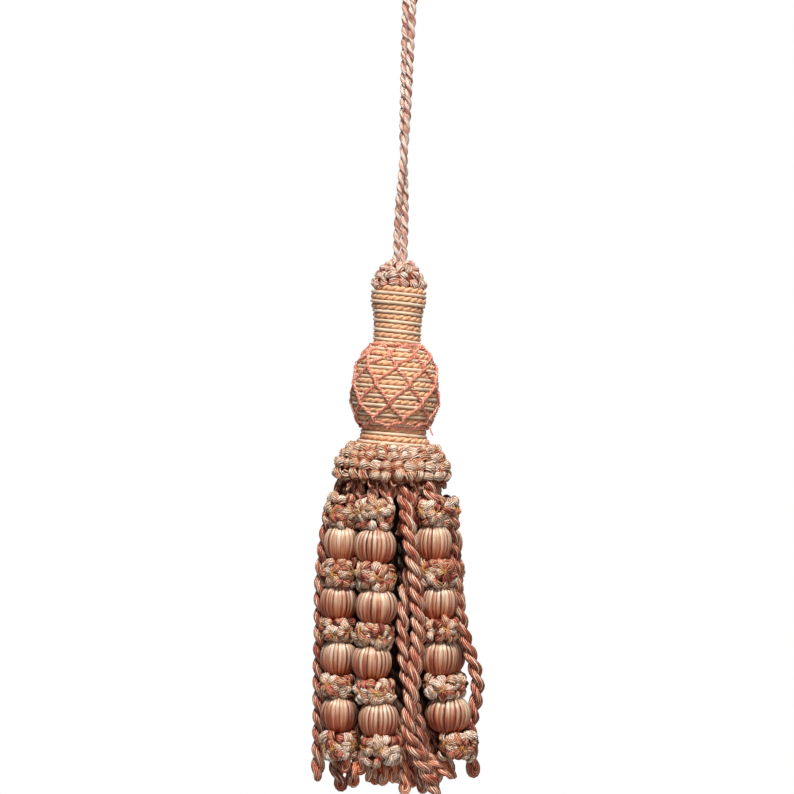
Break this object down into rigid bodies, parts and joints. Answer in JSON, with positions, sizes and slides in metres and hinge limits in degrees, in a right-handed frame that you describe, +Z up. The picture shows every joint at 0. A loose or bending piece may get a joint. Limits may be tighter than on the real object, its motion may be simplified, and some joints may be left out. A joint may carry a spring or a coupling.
{
  "type": "key tassel",
  "caption": "Passementerie key tassel: doubled hanging cord, cord-wound head with a netted ball, looped ruffs, bullion skirt and strings of satin-covered beads with yarn tufts.",
  "frame": {"origin": "the inside of the top of the hanging loop, where it bears on its hook", "axes": "+Z up along the plumb line the tassel hangs on, -Y towards the front, +X to the right seen from the front"},
  "size_m": [0.0523, 0.0474, 0.262],
  "materials": {
    "loop_cord": "rose and cream viscose cord, two-ply, soft sheen",
    "gold_cord": "gold twisted cord and cream gimp, closely wound, satin",
    "coral_cord": "coral net cord, two-ply, satin",
    "ruff": "looped cream, gold and rose yarn, matt",
    "bullion": "thick twisted bullion cord in rose and cream, soft sheen",
    "tuft": "looped beige and pink yarn tied with gold thread, matt",
    "satin": "satin floss laid lengthwise in cream and rose stripes"
  },
  "bodies": {
    "root": {"hanging_loop": "loop_cord", "collar_ruff": "ruff", "neck_mould": "gold_cord", "ball_mould": "gold_cord", "ball_net": "coral_cord", "foot_mould": "gold_cord", "skirt_ruff": "ruff", "bullion_skirt": "bullion", "bead_string_left": "tuft", "bead_string_front": "tuft", "bead_string_right": "tuft", "bead_string_right_back": "tuft", "bead_string_back": "tuft", "bead_string_left_back": "tuft", "bead_left_1": "satin", "bead_left_2": "satin", "bead_left_3": "satin", "bead_left_4": "satin", "bead_front_1": "satin", "bead_front_2": "satin", "bead_front_3": "satin", "bead_front_4": "satin", "bead_right_1": "satin", "bead_right_2": "satin", "bead_right_3": "satin", "bead_right_4": "satin", "bead_right_back_1": "satin", "bead_right_back_2": "satin", "bead_right_back_3": "satin", "bead_right_back_4": "satin", "bead_back_1": "satin", "bead_back_2": "satin", "bead_back_3": "satin", "bead_back_4": "satin", "bead_left_back_1": "satin", "bead_left_back_2": "satin", "bead_left_back_3": "satin", "bead_left_back_4": "satin"}
  },
  "joints": []
}
